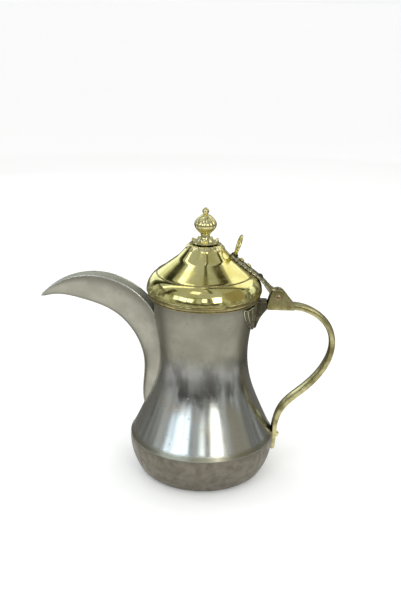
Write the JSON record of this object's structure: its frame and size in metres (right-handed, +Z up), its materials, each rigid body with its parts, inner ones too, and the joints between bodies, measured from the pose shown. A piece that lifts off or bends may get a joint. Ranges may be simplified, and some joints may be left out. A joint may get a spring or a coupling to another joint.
{
  "type": "coffee pot with hinged lid",
  "caption": "Waisted long-beaked coffee pot with a flat foot, open crescent spout, S-shaped strap handle and a hinged conical lid with finial and thumb ring.",
  "frame": {"origin": "centre of the flat foot, on the surface that the pot stands on", "axes": "+Z up along the vessel, +X towards the handle and lid hinge, -X towards the spout, symmetric about Y = 0"},
  "size_m": [0.2635, 0.1324, 0.2478],
  "materials": {
    "tinned_sheet": "satin tin over brass sheet",
    "tinned_bowl": "dull tin, mottled",
    "collar_brass": "satin",
    "lid_brass": "polished",
    "handle_brass": "aged, worn on the edges",
    "aged_brass": "dark patina",
    "copper_pin": "peened, dull"
  },
  "bodies": {
    "pot": {"upper_body": "tinned_sheet", "lower_bowl": "tinned_bowl", "base_disc": "tinned_bowl", "mouth_collar": "collar_brass", "spout": "tinned_sheet", "neck_bracket": "aged_brass", "handle": "handle_brass", "hinge_pin": "copper_pin", "foot_rivet": "handle_brass"},
    "lid": {"lid_dome": "lid_brass", "lid_skirt": "lid_brass", "petal_skirt": "lid_brass", "crown_rosette": "lid_brass", "finial": "lid_brass", "finial_burr": "aged_brass", "lid_leaf": "aged_brass", "leaf_rivets": "aged_brass", "thumb_ring": "lid_brass"}
  },
  "joints": [
    {"name": "lid_hinge", "type": "hinge", "parent": "pot", "child": "lid", "pos_m": [0.0651, 0, 0.1698], "axis": [0, 1, 0], "range_deg": [0, 100]}
  ]
}
